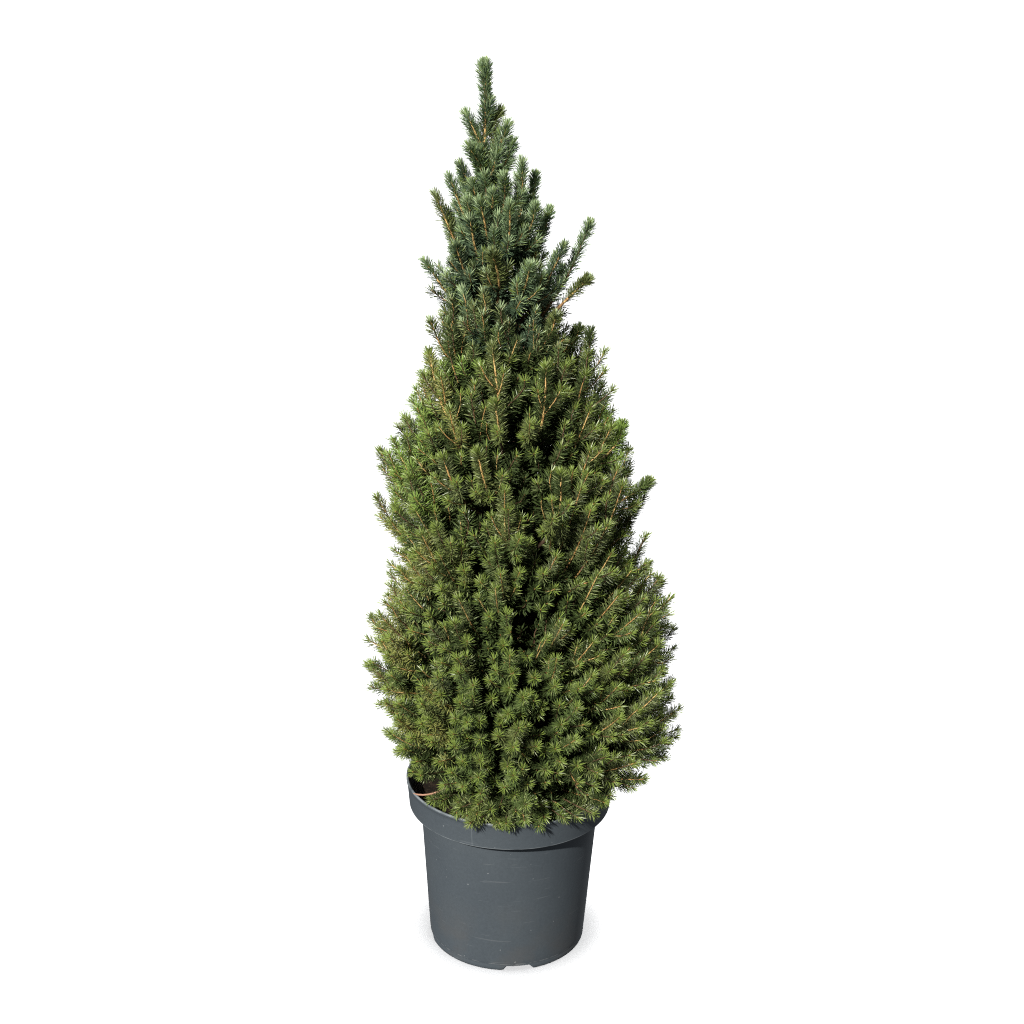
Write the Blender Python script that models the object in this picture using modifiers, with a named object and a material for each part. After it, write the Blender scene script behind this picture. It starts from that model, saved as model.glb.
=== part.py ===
"""A dwarf alberta spruce in a round nursery pot: a turned plastic pot with a stepped collar, a plug of soil, one
leaning trunk with its boughs, and the foliage as separate uneven masses round the trunk. Metres, +Z up, the pot's
axis on Z and its foot at Z = 0. -Y is the front."""

import math

import bmesh
import bpy
from mathutils import Matrix, Vector, noise

# Pot
STEPS = 40
RIM_Z = 0.2586
RIM_R = 0.1500
COLLAR_Z = 0.2164
COLLAR_R = 0.1452
WALL_TOP_R = 0.1288
FOOT_R = 0.1142
WALL = 0.0021
BASE_Z = 0.0070
BASE_T = 0.0024
PAD_R = 0.0400
NOTCHES = 4
NOTCH_WIDE = 0.0440
NOTCH_NARROW = 0.0330
NOTCH_TURN = math.radians(8)
DRAIN_HOLES = 8
DRAIN_R = 0.0065
DRAIN_RING_R = 0.0720

# Soil
SOIL_Z = 0.2262
CLEAR = 0.0003

# Trunk
TRUNK_FOOT_R = 0.0135
TRUNK_TIP_R = 0.0014
TRUNK_TOP_Z = 1.2450
FLARE_H = 0.0450
FLARE_GAIN = 0.38

# Crown outline
CROWN_TOP_Z = 1.2750
WIDEST_Z = 0.4200
WIDEST_R = 0.2240
TAPER_POWER = 0.76
CROWN_FLOOR_Z = 0.2700
DRAPE_FLOOR_Z = 0.2400
LEAN = 0.0760
LEAN_START_X = 0.0310
Z_SQUEEZE = 0.55
GAP = 0.0046
SOFTNESS = 13
MASS_SIDES = 12
MASS_RINGS = 9

# Tiers of foliage: name, height of the centres, number round the trunk, first azimuth in degrees, distance of the
# centres from the crown's axis as a share of the crown's radius, clear space to the trunk, reach sideways and
# upwards of one mass.
TIERS = (
    ("foliage_low", 0.350, 6, -90, 0.64, 0.034, 0.200, 0.150),
    ("foliage_belly", 0.470, 6, -60, 0.62, 0.034, 0.190, 0.150),
    ("foliage_mid", 0.600, 5, -90, 0.58, 0.030, 0.180, 0.150),
    ("foliage_high", 0.735, 4, -100, 0.56, 0.006, 0.150, 0.160),
    ("foliage_shoulder", 0.865, 4, -52, 0.54, 0.004, 0.105, 0.150),
    ("foliage_neck", 0.980, 3, -95, 0.53, 0.003, 0.075, 0.125),
    ("foliage_top", 1.075, 3, -160, 0.54, 0.0025, 0.050, 0.095),
)
DRAPE_AZIMUTHS = (-121, -90, -59, 55, 125)
DRAPE_R = 0.1740
DRAPE_Z = 0.2860
DRAPE_OUT = 0.0230
RIM_CLEAR = 0.0040
LEADER_Z = 1.1850
LEADER_W = 0.0250
PLUME_FOOT = (0.0560, -0.0100, 0.9600)
PLUME_TIP = (0.0990, -0.0140, 1.0660)
PLUME_W = 0.0260
BOUGH_TIERS = ("foliage_low", "foliage_belly", "foliage_mid")
BOUGH_R = 0.0052
BOUGH_RISE = 0.0480
BOUGH_STAGGER = 0.0220
PLUME_RISE = 0.0600

for old in list(bpy.data.objects):
    bpy.data.objects.remove(old, do_unlink=True)

parts = bpy.data.collections.new("potted_alberta_spruce")
cutters = bpy.data.collections.new("cutters")
bpy.context.scene.collection.children.link(parts)
bpy.context.scene.collection.children.link(cutters)
cutters.hide_render = True


def material(name, color, roughness):
    found = bpy.data.materials.get(name)
    if found:
        return found
    found = bpy.data.materials.new(name)
    found.use_nodes = True
    shader = found.node_tree.nodes["Principled BSDF"]
    shader.inputs["Base Color"].default_value = (*color, 1.0)
    shader.inputs["Roughness"].default_value = roughness
    found.diffuse_color = (*color, 1.0)
    return found


def add(name, mesh, look, smooth=False, cutter=False):
    obj = bpy.data.objects.new(name, mesh)
    (cutters if cutter else parts).objects.link(obj)
    if cutter:
        obj.hide_render = True
        obj.display_type = "WIRE"
    elif look:
        mesh.materials.append(material(*look))
    for polygon in mesh.polygons:
        polygon.use_smooth = smooth
    return obj


def mesh_of(bm, name):
    bmesh.ops.recalc_face_normals(bm, faces=bm.faces)
    if bm.calc_volume(signed=True) < 0:
        bmesh.ops.reverse_faces(bm, faces=bm.faces)
    mesh = bpy.data.meshes.new(name)
    bm.to_mesh(mesh)
    bm.free()
    return mesh


def turned(name, profile, look):
    """A profile of (radius, height) from axis to axis, turned round Z."""
    mesh = bpy.data.meshes.new(name)
    points = [(r, 0.0, z) for r, z in profile]
    mesh.from_pydata(points, [(i, i + 1) for i in range(len(points) - 1)], [])
    obj = add(name, mesh, look)
    screw = obj.modifiers.new("turn", "SCREW")
    screw.axis = "Z"
    screw.angle = math.tau
    screw.steps = STEPS
    screw.render_steps = STEPS
    screw.use_merge_vertices = True
    screw.merge_threshold = 0.00005
    screw.use_smooth_shade = True
    return obj


def cut(obj, cutter, name):
    boolean = obj.modifiers.new(name, "BOOLEAN")
    boolean.operation = "DIFFERENCE"
    boolean.solver = "EXACT"
    boolean.object = cutter
    return boolean


# ---------------------------------------------------------------- pot

POT_LOOK = ("pot_plastic", (0.085, 0.105, 0.125), 0.55)
SOIL_LOOK = ("potting_soil", (0.035, 0.024, 0.016), 0.95)
BARK_LOOK = ("bark", (0.20, 0.12, 0.070), 0.90)


def wall_r(z):
    """Outer radius of the wall between the foot and the collar."""
    return FOOT_R + (WALL_TOP_R - FOOT_R) * (z - 0.010) / (COLLAR_Z - 0.010)


inner_base_z = BASE_Z + BASE_T
shelf_z = COLLAR_Z + WALL + 0.0002
pot = turned(
    "pot",
    [
        (0.0, inner_base_z),
        (wall_r(inner_base_z) - WALL - 0.0006, inner_base_z),
        (wall_r(COLLAR_Z) - WALL, shelf_z),
        (COLLAR_R - WALL, shelf_z + 0.0008),
        (RIM_R - WALL - 0.0016, RIM_Z - 0.0006),
        (RIM_R - WALL - 0.0008, RIM_Z),
        (RIM_R - 0.0006, RIM_Z),
        (RIM_R, RIM_Z - 0.0010),
        (RIM_R - 0.0002, RIM_Z - 0.0050),
        (RIM_R - 0.0012, RIM_Z - 0.0062),
        (COLLAR_R, COLLAR_Z + 0.0016),
        (COLLAR_R - 0.0008, COLLAR_Z),
        (wall_r(COLLAR_Z) + 0.0006, COLLAR_Z + 0.0002),
        (wall_r(0.2130), 0.2130),
        (wall_r(0.0120), 0.0120),
        (FOOT_R - 0.0006, 0.0088),
        (FOOT_R - 0.0006, 0.0030),
        (FOOT_R - 0.0022, 0.0),
        (FOOT_R - 0.0130, 0.0),
        (FOOT_R - 0.0142, BASE_Z),
        (PAD_R, BASE_Z),
        (PAD_R - 0.0016, 0.0),
        (0.0, 0.0),
    ],
    POT_LOOK,
)

drains = bmesh.new()
for i in range(DRAIN_HOLES):
    turn = Matrix.Rotation(math.tau * (i + 0.5) / DRAIN_HOLES, 4, "Z")
    place = turn @ Matrix.Translation((DRAIN_RING_R, 0.0, BASE_Z))
    bmesh.ops.create_cone(
        drains, cap_ends=True, segments=10, radius1=DRAIN_R, radius2=DRAIN_R, depth=0.012, matrix=place
    )
for i in range(NOTCHES):
    turn = Matrix.Rotation(math.tau * i / NOTCHES + NOTCH_TURN, 4, "Z")
    made = bmesh.ops.create_cube(drains, size=1.0)
    for vert in made["verts"]:
        half = (NOTCH_NARROW if vert.co.z > 0 else NOTCH_WIDE) / 2
        high = BASE_Z - 0.0011 if vert.co.z > 0 else -0.004
        along = FOOT_R - 0.0190 if vert.co.x < 0 else FOOT_R + 0.010
        vert.co = turn @ Vector((along, math.copysign(half, vert.co.y), high))
pot_cutter = add("pot_cutter", mesh_of(drains, "pot_cutter"), None, cutter=True)
cut(pot, pot_cutter, "drainage")

soil_gap = WALL + CLEAR + 0.0001
soil = turned(
    "soil",
    [
        (0.0, SOIL_Z),
        (0.0300, SOIL_Z),
        (0.0750, SOIL_Z + 0.0016),
        (0.1150, SOIL_Z + 0.0004),
        (COLLAR_R - soil_gap - 0.0010, SOIL_Z - 0.0022),
        (COLLAR_R - soil_gap, SOIL_Z - 0.0038),
        (COLLAR_R - soil_gap, shelf_z + 0.0008 + CLEAR + 0.0001),
        (wall_r(COLLAR_Z) - soil_gap, shelf_z + CLEAR + 0.0001),
        (wall_r(inner_base_z) - soil_gap - 0.0006, inner_base_z + CLEAR),
        (0.0, inner_base_z + CLEAR),
    ],
    SOIL_LOOK,
)

# ---------------------------------------------------------------- trunk


def smooth(t):
    t = min(1.0, max(0.0, t))
    return t * t * (3 - 2 * t)


def trunk_at(z):
    """Centre of the trunk at a height: it leans left as it rises, with a slow wander."""
    x = 0.0040 - 0.0460 * smooth((z - 0.42) / 0.74) + 0.0022 * math.sin(11.0 * z)
    y = 0.0030 * math.sin(7.0 * z + 0.6)
    return Vector((x, y, z))


def trunk_r(z):
    t = (z - SOIL_Z) / (TRUNK_TOP_Z - SOIL_Z)
    return TRUNK_TIP_R + (TRUNK_FOOT_R - TRUNK_TIP_R) * (1 - t) ** 0.9


def tube(name, points, radii, resolution=2):
    """A closed mesh from a filled curve through the points, each with its own radius."""
    curve = bpy.data.curves.new(name, "CURVE")
    curve.dimensions = "3D"
    curve.bevel_depth = 1.0
    curve.bevel_resolution = resolution
    curve.use_fill_caps = True
    spline = curve.splines.new("POLY")
    spline.points.add(len(points) - 1)
    for point, co, r in zip(spline.points, points, radii):
        point.co = (*co, 1.0)
        point.radius = r
    holder = bpy.data.objects.new(name + "_curve", curve)
    bpy.context.scene.collection.objects.link(holder)
    bpy.context.view_layer.update()
    made = bpy.data.meshes.new_from_object(holder.evaluated_get(bpy.context.evaluated_depsgraph_get()))
    bpy.data.objects.remove(holder, do_unlink=True)
    bm = bmesh.new()
    bm.from_mesh(made)
    bpy.data.meshes.remove(made)
    bmesh.ops.remove_doubles(bm, verts=bm.verts, dist=0.00001)
    return bm


def flare(bm, foot):
    """Widens a tube into root lobes over its lowest few centimetres, and flattens its foot."""
    for vert in bm.verts:
        up = vert.co.z - SOIL_Z
        if up < FLARE_H:
            middle = trunk_at(vert.co.z)
            out = Vector((vert.co.x - middle.x, vert.co.y - middle.y, 0.0))
            lobes = 0.75 + 0.25 * math.cos(4 * math.atan2(out.y, out.x) + 0.7)
            out *= 1 + FLARE_GAIN * lobes * (1 - max(0.0, up) / FLARE_H) ** 2
            vert.co.x, vert.co.y = middle.x + out.x, middle.y + out.y
        if up < 0.004:
            vert.co.z = foot


def trunk_mesh(name, grow, foot, top):
    low = SOIL_Z + CLEAR
    heights = [low, low + 0.012, low + 0.028, low + 0.048]
    heights += [low + 0.085 + i * (TRUNK_TOP_Z - low - 0.085) / 13 for i in range(14)]
    bm = tube(name, [trunk_at(z) for z in heights], [trunk_r(z) + grow for z in heights])
    flare(bm, foot)
    for vert in bm.verts:
        if vert.co.z > TRUNK_TOP_Z - 0.004:
            vert.co.z += top
    return mesh_of(bm, name)


trunk = add("trunk", trunk_mesh("trunk", 0.0, SOIL_Z + CLEAR, 0.0), BARK_LOOK, smooth=True)
trunk_cutter = add("trunk_cutter", trunk_mesh("trunk_cutter", 0.0005, SOIL_Z - 0.02, 0.0008), None, cutter=True)

# ---------------------------------------------------------------- foliage masses


def crown_x(z):
    return LEAN_START_X - LEAN * (z - 0.25)


def crown_r(z):
    if z < WIDEST_Z:
        return WIDEST_R * (1 - 0.17 * ((WIDEST_Z - z) / 0.16) ** 2)
    t = (z - WIDEST_Z) / (CROWN_TOP_Z - WIDEST_Z)
    return WIDEST_R * max(0.0, 1 - t) ** TAPER_POWER


class Mass:
    def __init__(self, name, centre, axis, wide, high, floor, clear):
        self.name = name
        self.centre = Vector(centre)
        self.axis = Vector(axis).normalized()
        self.wide = wide
        self.high = high
        self.floor = floor
        self.clear = clear
        self.free = False
        self.planes = []


masses = []
for name, z, count, first, share, clear, wide, high in TIERS:
    for i in range(count):
        seed = Vector((7.3 * z + 3.1 * i, 1.7 * i, 5.0 * z))
        wobble = Vector([noise.noise(seed + Vector((0.0, 0.0, 19.7 * k))) for k in range(3)])
        azimuth = math.radians(first + 360 * (i + 0.16 * wobble.x) / count)
        height = z + 0.030 * wobble.y
        out = Vector((math.cos(azimuth), math.sin(azimuth), 0.0))
        centre = Vector((crown_x(height), 0.0, height)) + out * share * crown_r(height) * (1 + 0.06 * wobble.z)
        axis = out * (0.55 if z < 0.7 else 0.32) + Vector((0, 0, 1))
        masses.append(Mass(f"{name}_{i + 1}", centre, axis, wide, high, CROWN_FLOOR_Z, clear))
for i, degrees in enumerate(DRAPE_AZIMUTHS):
    azimuth = math.radians(degrees)
    out = Vector((math.cos(azimuth), math.sin(azimuth), 0.0))
    height = DRAPE_Z + 0.006 * (i % 2)
    centre = out * DRAPE_R + Vector((0.35 * crown_x(height), 0.0, height))
    drape = Mass(f"foliage_drape_{i + 1}", centre, out * 0.25 - Vector((0, 0, 1)), 0.066, 0.054, DRAPE_FLOOR_Z, 0.0)
    # It hangs over and outside the pot's rim, whose top outer corner it clears on a slope.
    over = (out + Vector((0, 0, 1))).normalized()
    drape.planes.append((-over, (centre - out * RIM_R - Vector((0, 0, RIM_Z))).dot(over) - RIM_CLEAR))
    drape.planes.append(((out - Vector((0, 0, 0.45))).normalized(), DRAPE_OUT))
    masses.append(drape)
leader = Mass(
    "foliage_leader", trunk_at(LEADER_Z), (0, 0, 1), LEADER_W, CROWN_TOP_Z - LEADER_Z, 1.1200, None
)
masses.append(leader)
plume_axis = Vector(PLUME_TIP) - Vector(PLUME_FOOT)
plume = Mass(
    "foliage_right_plume",
    (Vector(PLUME_TIP) + Vector(PLUME_FOOT)) / 2,
    plume_axis,
    PLUME_W,
    plume_axis.length / 2 + 0.004,
    0.90,
    0.0030,
)
plume.free = True
leader.free = True
masses.append(plume)

for mass in masses:
    for other in masses:
        if other is mass:
            continue
        between = other.centre - mass.centre
        normal = Vector((between.x, between.y, between.z * Z_SQUEEZE**2))
        far = 0.5 * between.dot(normal) / normal.length - GAP / 2
        mass.planes.append((normal.normalized(), far))
    mass.planes.append((Vector((0, 0, -1)), mass.centre.z - mass.floor))
    if mass.clear:
        # Nothing nearer the trunk than its own side, all the way up this mass.
        inward = trunk_at(mass.centre.z) - mass.centre
        inward.z = 0
        inward.normalize()
        far = min(
            (trunk_at(mass.centre.z + k * 0.02) - mass.centre).dot(inward) - trunk_r(mass.centre.z + k * 0.02)
            for k in range(-6, 7)
        )
        mass.planes.append((inward, far - mass.clear))


def inside_crown(p):
    rough = 1 + 0.11 * noise.noise(p * 17.0) + 0.04 * noise.noise(p * 41.0)
    return math.hypot(p.x - crown_x(p.z), p.y) < crown_r(p.z) * rough


def reach(mass, d):
    """How far a mass goes from its centre in a direction: softly within its cell, the crown and its own plume."""
    limits = []
    for normal, far in mass.planes:
        slope = d.dot(normal)
        if slope > 0.02:
            limits.append(far / slope)
    along = d.dot(mass.axis)
    across = math.sqrt(max(0.0, 1 - along * along))
    # The plume narrows towards its tip.
    wide = mass.wide * (0.80 if along > 0.35 else 1.0)
    limits.append(1 / math.hypot(along / mass.high, across / wide))
    if not mass.free and mass.floor != DRAPE_FLOOR_Z:
        low, high = 0.0, 0.5
        for _ in range(18):
            middle = (low + high) / 2
            if inside_crown(mass.centre + d * middle):
                low = middle
            else:
                high = middle
        limits.append(max(low, 0.002))
    found = sum(limit**-SOFTNESS for limit in limits) ** (-1 / SOFTNESS)
    bumps = noise.noise((mass.centre + d * found) * 31.0 + Vector((4.0, 9.0, 2.0)))
    return found * (0.93 + 0.07 * bumps)


def mass_mesh(mass, grow, name):
    bm = bmesh.new()
    bmesh.ops.create_uvsphere(bm, u_segments=MASS_SIDES, v_segments=MASS_RINGS, radius=1.0)
    bmesh.ops.triangulate(bm, faces=bm.faces, quad_method="FIXED")
    stretch = mass.axis.to_track_quat("Z", "X").to_matrix()
    tall = max(1.0, 0.75 * mass.high / mass.wide)
    for vert in bm.verts:
        d = stretch @ Vector((vert.co.x, vert.co.y, vert.co.z * tall))
        d.normalize()
        vert.co = mass.centre + d * (reach(mass, d) + grow)
    return mesh_of(bm, name)


FOLIAGE_LOOKS = {
    "foliage_low": ("foliage_olive", (0.120, 0.190, 0.050), 0.80),
    "foliage_belly": ("foliage_olive", (0.120, 0.190, 0.050), 0.80),
    "foliage_mid": ("foliage_mid_green", (0.095, 0.170, 0.050), 0.80),
    "foliage_high": ("foliage_mid_green", (0.095, 0.170, 0.050), 0.80),
    "foliage_shoulder": ("foliage_bluish", (0.070, 0.130, 0.060), 0.80),
    "foliage_neck": ("foliage_bluish", (0.070, 0.130, 0.060), 0.80),
    "foliage_top": ("foliage_bluish", (0.070, 0.130, 0.060), 0.80),
    "foliage_drape": ("foliage_olive", (0.120, 0.190, 0.050), 0.80),
    "foliage_leader": ("foliage_bluish", (0.070, 0.130, 0.060), 0.80),
    "foliage_right_plume": ("foliage_bluish", (0.070, 0.130, 0.060), 0.80),
}
solids = {}
for mass in masses:
    tier = mass.name.rstrip("0123456789").rstrip("_")
    solids[mass.name] = add(mass.name, mass_mesh(mass, 0.0, mass.name), FOLIAGE_LOOKS[tier], smooth=True)
cut(solids["foliage_leader"], trunk_cutter, "round_the_trunk")

# ---------------------------------------------------------------- boughs


def bough(mass):
    """A tapering limb from inside the trunk to inside its mass, cut to end at both."""
    name = mass.name.replace("foliage", "bough")
    # Neighbours leave the trunk at different heights, so that their collars keep apart.
    rise = BOUGH_RISE + BOUGH_STAGGER * (int(mass.name[-1]) % 2) if mass.name[-1].isdigit() else PLUME_RISE
    foot = trunk_at(max(mass.centre.z - rise, SOIL_Z + 0.045))
    aim = mass.centre - foot
    steps = 6
    points, radii = [], []
    base_r = min(BOUGH_R, 0.55 * trunk_r(foot.z))
    for k in range(steps + 1):
        t = k / steps
        p = foot + aim * t
        p.z -= 0.018 * math.sin(math.pi * t)
        points.append(p)
        radii.append(base_r * (1 - 0.55 * t) * (1 + 0.3 * (1 - t) ** 8))
    if mass is plume:
        wider = tube("plume_channel", points, [r + 0.0012 for r in radii], resolution=1)
        add("plume_channel", mesh_of(wider, "plume_channel"), None, cutter=True)
    bm = tube(name, points, radii, resolution=1)
    obj = add(name, mesh_of(bm, name), BARK_LOOK, smooth=True)
    cut(obj, trunk_cutter, "at_the_trunk")
    stop = add(name + "_stop", mass_mesh(mass, 0.0006, name + "_stop"), None, cutter=True)
    cut(obj, stop, "at_the_mass")
    return obj


boughs = {mass.name: bough(mass) for mass in masses if mass.name.startswith(BOUGH_TIERS) or mass is plume}

# The long bough out to the right plume passes between the masses there, which are cut round it.
for mass in masses:
    if mass.name.startswith(("foliage_neck", "foliage_shoulder")):
        cut(solids[mass.name], bpy.data.objects["plume_channel"], "round_the_bough")
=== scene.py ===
"""A dwarf alberta spruce in its nursery pot, as seen in a pale studio: needles, twigs, bark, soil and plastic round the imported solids."""

import math

import bpy
import numpy as np
from mathutils import Matrix, Vector, kdtree, noise


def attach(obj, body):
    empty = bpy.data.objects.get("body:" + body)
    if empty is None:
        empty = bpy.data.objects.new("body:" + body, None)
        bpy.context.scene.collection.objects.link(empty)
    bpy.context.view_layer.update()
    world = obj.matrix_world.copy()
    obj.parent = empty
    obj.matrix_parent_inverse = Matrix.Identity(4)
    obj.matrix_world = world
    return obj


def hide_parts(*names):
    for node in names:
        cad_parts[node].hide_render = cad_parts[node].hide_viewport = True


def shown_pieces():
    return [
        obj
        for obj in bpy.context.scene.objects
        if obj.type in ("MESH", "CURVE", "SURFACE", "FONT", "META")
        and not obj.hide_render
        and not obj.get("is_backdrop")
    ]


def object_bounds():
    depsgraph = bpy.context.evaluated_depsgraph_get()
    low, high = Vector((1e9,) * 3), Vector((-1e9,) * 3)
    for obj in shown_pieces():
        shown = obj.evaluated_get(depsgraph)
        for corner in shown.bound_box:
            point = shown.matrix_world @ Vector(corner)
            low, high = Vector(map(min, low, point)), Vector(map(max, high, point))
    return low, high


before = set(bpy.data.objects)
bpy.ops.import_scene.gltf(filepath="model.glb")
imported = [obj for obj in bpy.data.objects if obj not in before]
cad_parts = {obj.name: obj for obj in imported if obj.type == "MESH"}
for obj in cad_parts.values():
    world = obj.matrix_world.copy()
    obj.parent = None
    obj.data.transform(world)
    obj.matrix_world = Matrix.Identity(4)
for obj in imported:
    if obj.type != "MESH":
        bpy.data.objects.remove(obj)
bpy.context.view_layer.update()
nodes = sorted(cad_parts)
rng = np.random.default_rng(90417)
UP = np.array((0.0, 0.0, 1.0))

# ------------------------------------------------------------------ sizes, in metres

NEEDLE_LONG = 0.0138
NEEDLE_WIDE = 0.00122
NEEDLE_BUDGET = 425_000
SPACING_LOW, SPACING_TOP = 0.058, 0.036
SIDE_ANGLE = math.radians(36)
GOLDEN = math.radians(137.508)

# Crown outline: height, reach to the left and to the right of the pot's axis.
OUTLINE = np.array(
    (
        (0.235, 0.120, 0.150),
        (0.262, 0.140, 0.182),
        (0.300, 0.171, 0.237),
        (0.330, 0.188, 0.248),
        (0.360, 0.190, 0.252),
        (0.420, 0.205, 0.246),
        (0.455, 0.213, 0.243),
        (0.500, 0.206, 0.232),
        (0.520, 0.200, 0.232),
        (0.560, 0.180, 0.228),
        (0.620, 0.151, 0.183),
        (0.660, 0.172, 0.163),
        (0.690, 0.183, 0.179),
        (0.720, 0.170, 0.177),
        (0.750, 0.184, 0.167),
        (0.800, 0.153, 0.150),
        (0.840, 0.139, 0.128),
        (0.870, 0.121, 0.109),
        (0.900, 0.102, 0.100),
        (0.950, 0.104, 0.062),
        (1.000, 0.090, 0.044),
        (1.050, 0.078, 0.024),
        (1.100, 0.068, 0.016),
        (1.140, 0.060, -0.012),
        (1.190, 0.054, -0.026),
        (1.275, 0.050, -0.034),
    )
)
# The upper crown's own plumes: tip, a place lower on the stem, leafy length.
FANNED = (
    ((-0.0455, 0.002, 1.2630), (-0.0420, 0.001, 1.2380), 0.026),
    ((-0.0345, -0.002, 1.2180), (-0.0400, -0.001, 1.1960), 0.026),
    ((-0.0500, -0.012, 1.1560), (-0.0440, -0.006, 1.1250), 0.045),
    ((-0.0250, -0.010, 1.1520), (-0.0320, -0.004, 1.1220), 0.045),
    ((-0.0400, -0.022, 1.1260), (-0.0370, -0.012, 1.0930), 0.050),
    ((-0.0560, -0.020, 1.1160), (-0.0480, -0.012, 1.0810), 0.055),
    ((-0.0300, -0.032, 1.1060), (-0.0300, -0.020, 1.0660), 0.060),
    ((-0.0060, -0.002, 1.1640), (-0.0180, 0.000, 1.1280), 0.050),
    ((-0.0360, 0.018, 1.1420), (-0.0350, 0.008, 1.1050), 0.050),
    ((-0.0540, 0.010, 1.1760), (-0.0440, 0.004, 1.1440), 0.036),
    ((-0.0270, 0.008, 1.1760), (-0.0350, 0.004, 1.1480), 0.030),
    ((0.0250, -0.024, 1.0880), (0.0160, -0.014, 1.0360), 0.080),
    ((-0.0620, -0.034, 1.0960), (-0.0500, -0.022, 1.0440), 0.070),
    ((-0.0639, 0.000, 1.2000), (-0.0432, 0.000, 1.1581), 0.046),
    ((-0.0235, 0.014, 1.2020), (-0.0345, 0.006, 1.1828), 0.032),
    ((-0.0130, -0.006, 1.1870), (-0.0239, -0.002, 1.1531), 0.050),
    ((-0.0594, -0.018, 1.1613), (-0.0416, -0.006, 1.1315), 0.044),
    ((-0.0105, 0.022, 1.1375), (-0.0237, 0.010, 1.1208), 0.036),
    ((-0.0712, -0.006, 1.1363), (-0.0518, -0.004, 1.0969), 0.060),
    ((-0.0848, -0.020, 1.1231), (-0.0539, -0.012, 1.0383), 0.100),
    ((-0.1040, 0.000, 1.0974), (-0.0641, -0.012, 1.0012), 0.110),
    ((-0.0877, 0.024, 1.0708), (-0.0516, 0.010, 1.0044), 0.080),
    ((-0.0456, -0.052, 1.0988), (-0.0301, -0.030, 1.0293), 0.085),
    ((-0.0075, -0.056, 1.0949), (-0.0066, -0.034, 1.0148), 0.095),
    ((0.0071, -0.018, 1.1418), (0.0111, -0.010, 1.0466), 0.105),
    ((-0.0156, -0.034, 1.1264), (-0.0101, -0.020, 1.0823), 0.075),
    ((0.0250, 0.016, 1.1208), (0.0187, 0.006, 1.0645), 0.080),
    ((0.0434, 0.018, 1.0749), (0.0325, 0.004, 1.0175), 0.075),
    ((0.0955, -0.016, 1.0653), (0.0583, -0.016, 0.9582), 0.125),
    ((0.0937, -0.030, 0.9954), (0.0705, -0.020, 0.9684), 0.070),
    ((0.0626, -0.034, 1.0398), (0.0254, -0.030, 0.9532), 0.105),
    ((-0.1173, 0.000, 1.0091), (-0.0746, -0.010, 0.9469), 0.085),
    ((-0.0295, -0.078, 1.0387), (-0.0126, -0.052, 0.9820), 0.080),
    ((0.0190, -0.070, 1.0195), (0.0095, -0.048, 0.9681), 0.080),
    ((0.0538, -0.050, 0.9512), (0.0443, -0.040, 0.9057), 0.080),
    ((0.0859, -0.010, 0.9237), (0.0741, -0.010, 0.8927), 0.060),
    ((-0.0583, -0.050, 1.0752), (-0.0481, -0.030, 1.0133), 0.085),
    ((-0.0761, -0.050, 1.0415), (-0.0610, -0.030, 0.9867), 0.085),
    # the long shoots that stand up in the middle of the crown
    ((-0.0280, -0.085, 0.9190), (-0.0120, -0.108, 0.8000), 0.130),
    ((0.0410, -0.095, 0.8950), (0.0420, -0.122, 0.7900), 0.120),
    ((-0.1120, -0.030, 0.8960), (-0.0880, -0.085, 0.7900), 0.115),
    ((-0.0240, -0.118, 0.8530), (-0.0120, -0.130, 0.7900), 0.080),
    ((-0.0450, -0.138, 0.7930), (-0.0320, -0.148, 0.7300), 0.090),
    ((-0.0900, -0.112, 0.7770), (-0.0700, -0.125, 0.7120), 0.090),
    ((0.1000, -0.025, 0.9250), (0.0940, -0.070, 0.8000), 0.130),
    ((0.1460, -0.030, 0.8000), (0.1360, -0.055, 0.7520), 0.075),
    ((0.1860, -0.020, 0.7150), (0.1420, -0.050, 0.6900), 0.075),
    ((0.0620, -0.140, 0.7660), (0.0660, -0.160, 0.6800), 0.110),
    # round the back
    ((0.0300, 0.090, 0.8900), (0.0300, 0.118, 0.7900), 0.120),
    ((-0.0420, 0.096, 0.8700), (-0.0440, 0.126, 0.7700), 0.120),
    ((-0.0900, 0.070, 0.8500), (-0.0850, 0.100, 0.7600), 0.110),
    ((0.0900, 0.070, 0.8400), (0.0860, 0.100, 0.7500), 0.110),
    ((-0.0480, 0.032, 1.1600), (-0.0440, 0.014, 1.1000), 0.070),
    ((-0.0200, 0.044, 1.1250), (-0.0250, 0.022, 1.0600), 0.080),
    ((-0.0720, 0.044, 1.1150), (-0.0560, 0.022, 1.0450), 0.090),
    ((-0.0440, 0.060, 1.0900), (-0.0380, 0.032, 1.0150), 0.090),
    ((0.0080, 0.056, 1.0850), (0.0020, 0.030, 1.0150), 0.090),
    ((0.0360, 0.056, 1.0500), (0.0220, 0.030, 0.9800), 0.090),
    ((-0.0900, 0.054, 1.0500), (-0.0650, 0.030, 0.9800), 0.090),
    ((-0.0180, 0.082, 1.0450), (-0.0140, 0.048, 0.9700), 0.090),
    ((-0.0600, 0.084, 1.0200), (-0.0480, 0.050, 0.9500), 0.090),
    ((0.0240, 0.084, 1.0050), (0.0140, 0.052, 0.9350), 0.090),
    ((0.0620, 0.058, 0.9900), (0.0440, 0.036, 0.9250), 0.085),
)
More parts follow.
